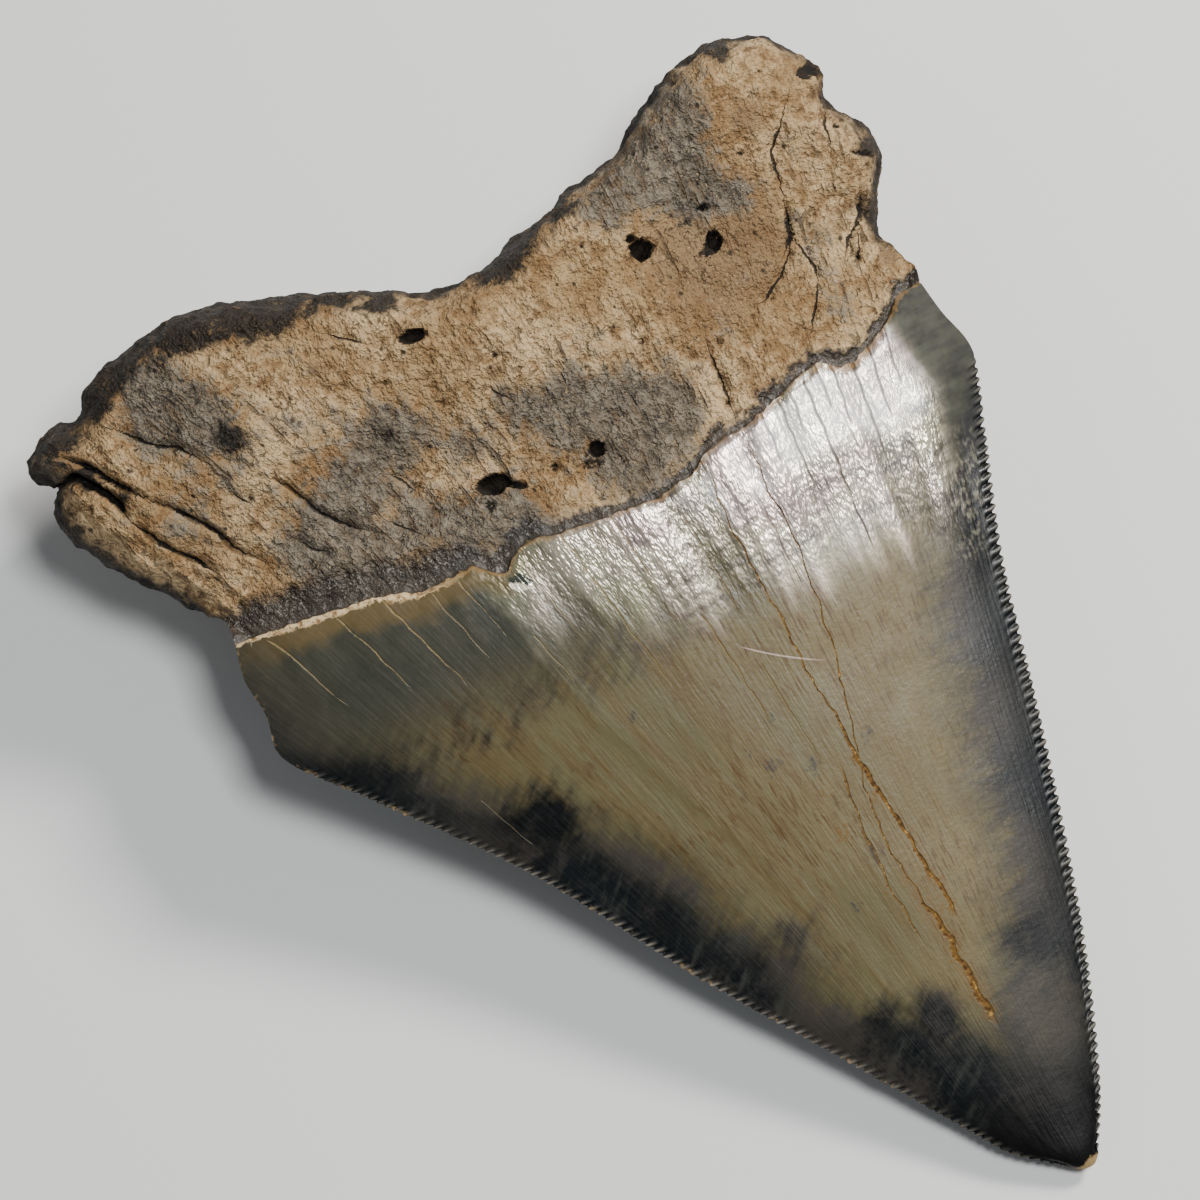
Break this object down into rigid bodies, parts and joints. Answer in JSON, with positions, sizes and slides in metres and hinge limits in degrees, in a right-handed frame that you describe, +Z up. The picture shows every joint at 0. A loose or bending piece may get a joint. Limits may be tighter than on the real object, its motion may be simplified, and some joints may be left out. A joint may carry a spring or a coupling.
{
  "type": "fossil shark tooth",
  "caption": "Large fossil shark tooth lying on its back: broad two-lobed root, dark neck and a triangular enamel crown with serrated cutting edges.",
  "frame": {"origin": "centre of the object's box, on the surface that the tooth lies on", "axes": "+X across the tooth towards its right root lobe, +Y from the tip towards the root, +Z up, out of the flatter lip side"},
  "size_m": [0.0764, 0.0978, 0.0241],
  "materials": {
    "fossil": "matt, pitted mineralised root in sandy brown and grey; glossy enamel in olive tan with near-black margins"
  },
  "bodies": {
    "root": {"tooth": "fossil"}
  },
  "joints": []
}
